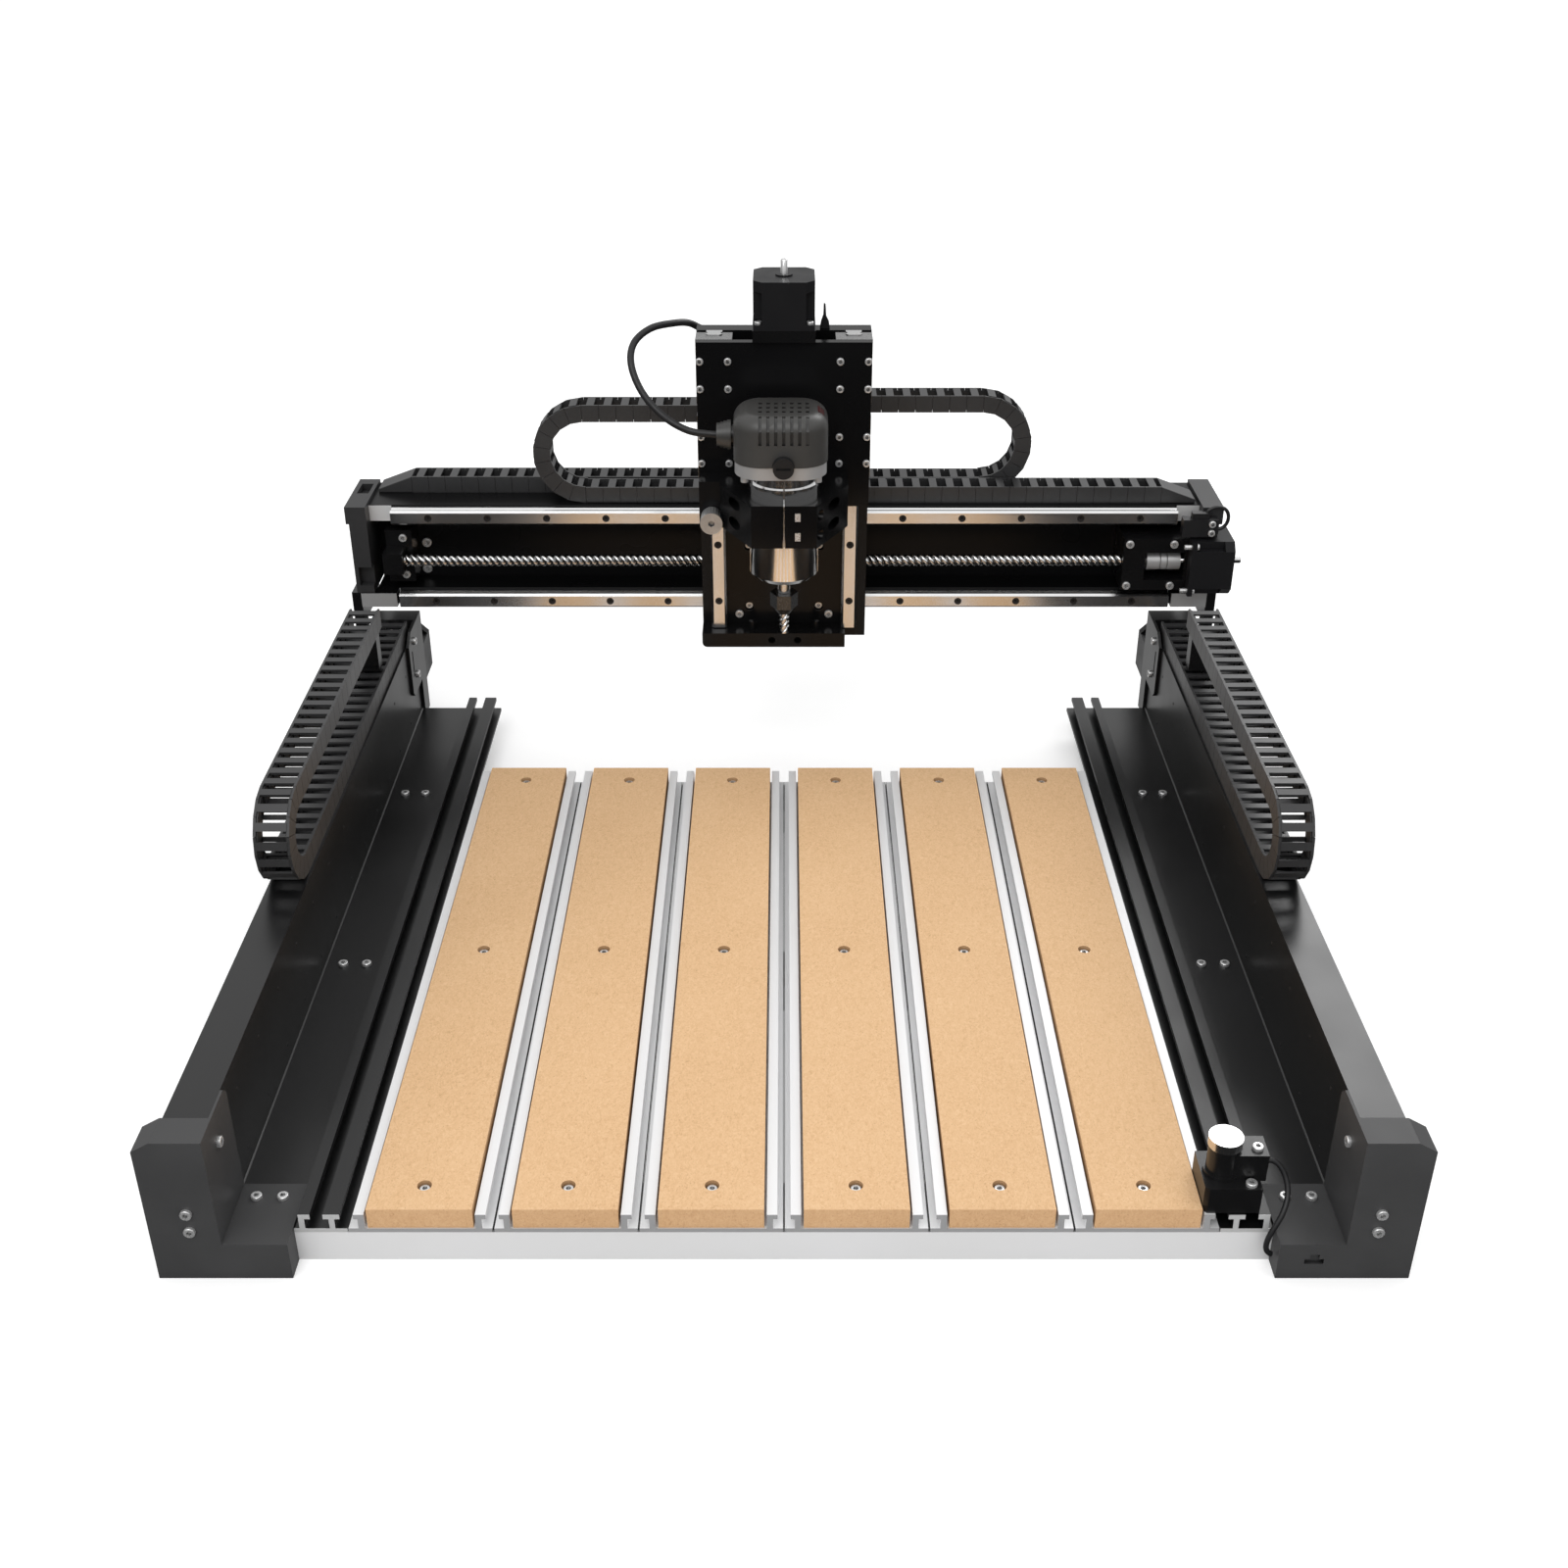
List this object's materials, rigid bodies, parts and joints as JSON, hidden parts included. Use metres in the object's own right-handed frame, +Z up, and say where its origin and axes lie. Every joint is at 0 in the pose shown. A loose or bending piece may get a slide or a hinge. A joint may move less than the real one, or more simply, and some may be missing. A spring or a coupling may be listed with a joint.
{
  "type": "cnc router",
  "caption": "Bench-top CNC router: slotted table with board slats between two side beams, a moving gantry, an X carriage and a Z axis with a trim router.",
  "frame": {"origin": "on the floor, in the middle of the table's width, under the middle row of slat screws", "axes": "+X to the right seen from the front, +Y from the front to the back, +Z up"},
  "size_m": [0.9157, 0.8929, 0.525],
  "materials": {
    "natural_aluminium": "clear anodised, satin",
    "mdf": "raw fibreboard",
    "screw_steel": "bright zinc and ground steel",
    "black_anodised": "black anodised, satin",
    "cap_plastic": "fine moulded texture",
    "rail_steel": "ground",
    "block_steel": "ground, part blackened",
    "motor_black": "satin paint",
    "chain_plastic": "moulded",
    "cable_rubber": "smooth"
  },
  "bodies": {
    "frame": {"crossbars": "natural_aluminium", "table_panels": "natural_aluminium", "mdf_slats": "mdf", "slat_screws": "screw_steel", "y_beam_left": "black_anodised", "y_beam_right": "black_anodised", "front_cap_left": "cap_plastic", "front_cap_right": "cap_plastic", "rear_mounts": "black_anodised", "y_rails": "rail_steel", "y_motors": "motor_black", "y_chain_bases": "chain_plastic", "probe_base": "black_anodised", "probe_cable": "cable_rubber", "frame_screws": "screw_steel"},
    "y_screw_left": {"y_screw_left": "screw_steel"},
    "y_screw_right": {"y_screw_right": "screw_steel"},
    "probe_plunger": {"probe_button": "rail_steel"},
    "y_chain_bends": {"y_chain_bends": "chain_plastic"},
    "gantry": {"x_beam": "black_anodised", "gantry_ends": "black_anodised", "y_carriages": "black_anodised", "y_blocks": "block_steel", "y_nuts": "black_anodised", "x_rails": "rail_steel", "x_screw_mounts": "black_anodised", "x_motor": "motor_black", "limit_switch": "chain_plastic", "gantry_screws": "screw_steel", "x_chain_bases": "chain_plastic", "y_chain_tops": "chain_plastic"},
    "x_screw": {"x_screw": "screw_steel", "x_coupler": "rail_steel"},
    "x_chain_bends": {"x_chain_bends": "chain_plastic"},
    "x_carriage": {"x_carriage_plate": "black_anodised", "x_blocks": "block_steel", "x_nut": "black_anodised", "z_rails": "rail_steel", "z_bottom_plate": "black_anodised", "z_motor_mount": "black_anodised", "z_motor": "motor_black", "carriage_screws": "screw_steel", "x_chain_tops": "chain_plastic"},
    "z_screw": {"z_screw": "screw_steel"},
    "z_carriage": {"z_plate": "black_anodised", "z_blocks": "block_steel", "z_nut": "black_anodised", "router_mount": "black_anodised", "z_plate_screws": "screw_steel", "router_can": "rail_steel", "router_band": "rail_steel", "router_head": "chain_plastic", "brush_cap": "chain_plastic", "strain_relief": "cable_rubber", "router_cord": "cable_rubber"},
    "mount_knob": {"mount_knob": "screw_steel"},
    "power_switch": {"power_switch": "chain_plastic"},
    "spindle": {"collet_nut": "block_steel", "cutter": "screw_steel"}
  },
  "joints": [
    {"name": "y_slide", "type": "slide", "parent": "frame", "child": "gantry", "axis": [0, 1, 0], "range_m": [-0.585, 0], "deforming": ["y_chain_bases", "y_chain_tops"]},
    {"name": "x_slide", "type": "slide", "parent": "gantry", "child": "x_carriage", "axis": [1, 0, 0], "range_m": [-0.311, 0.311], "deforming": ["x_chain_bases", "x_chain_tops"]},
    {"name": "z_slide", "type": "slide", "parent": "x_carriage", "child": "z_carriage", "axis": [0, 0, 1], "range_m": [-0.138, 0], "deforming": ["router_cord"]},
    {"name": "y_bend_roll", "type": "slide", "parent": "frame", "child": "y_chain_bends", "axis": [0, 1, 0], "range_m": [-0.2935, 0.001]},
    {"name": "x_bend_roll", "type": "slide", "parent": "x_carriage", "child": "x_chain_bends", "axis": [1, 0, 0], "range_m": [-0.1565, 0.1565]},
    {"name": "y_screw_left_spin", "type": "hinge", "parent": "frame", "child": "y_screw_left", "pos_m": [-0.417, 0.4, 0.07], "axis": [0, 1, 0], "range_deg": [-30, 10560]},
    {"name": "y_screw_right_spin", "type": "hinge", "parent": "frame", "child": "y_screw_right", "pos_m": [0.417, 0.4, 0.07], "axis": [0, 1, 0], "range_deg": [-30, 10560]},
    {"name": "x_screw_spin", "type": "hinge", "parent": "gantry", "child": "x_screw", "pos_m": [0, 0.4614, 0.2068], "axis": [1, 0, 0], "range_deg": [-5628, 5628]},
    {"name": "z_screw_spin", "type": "hinge", "parent": "x_carriage", "child": "z_screw", "pos_m": [0, 0.404, 0.3], "axis": [0, 0, 1], "range_deg": [-30, 4998]},
    {"name": "spindle_spin", "type": "hinge", "parent": "z_carriage", "child": "spindle", "pos_m": [0, 0.335, 0.22], "axis": [0, 0, 1], "continuous": true},
    {"name": "knob_turn", "type": "hinge", "parent": "z_carriage", "child": "mount_knob", "pos_m": [-0.0682, 0.343, 0.296], "axis": [0, 1, 0], "range_deg": [-720, 720]},
    {"name": "switch_rock", "type": "hinge", "parent": "z_carriage", "child": "power_switch", "pos_m": [0.032, 0.326, 0.4058], "axis": [0, 1, 0], "range_deg": [-12, 12]},
    {"name": "probe_press", "type": "slide", "parent": "frame", "child": "probe_plunger", "axis": [0, 0, 1], "range_m": [-0.003, 0]}
  ],
  "couplings": [
    {"joint": "y_bend_roll", "follows": "y_slide", "ratio": 0.5},
    {"joint": "x_bend_roll", "follows": "x_slide", "ratio": -0.5},
    {"joint": "y_screw_left_spin", "follows": "y_slide", "rad_per_m": -314.16},
    {"joint": "y_screw_right_spin", "follows": "y_slide", "rad_per_m": -314.16},
    {"joint": "x_screw_spin", "follows": "x_slide", "rad_per_m": -314.16},
    {"joint": "z_screw_spin", "follows": "z_slide", "rad_per_m": -628.32}
  ]
}
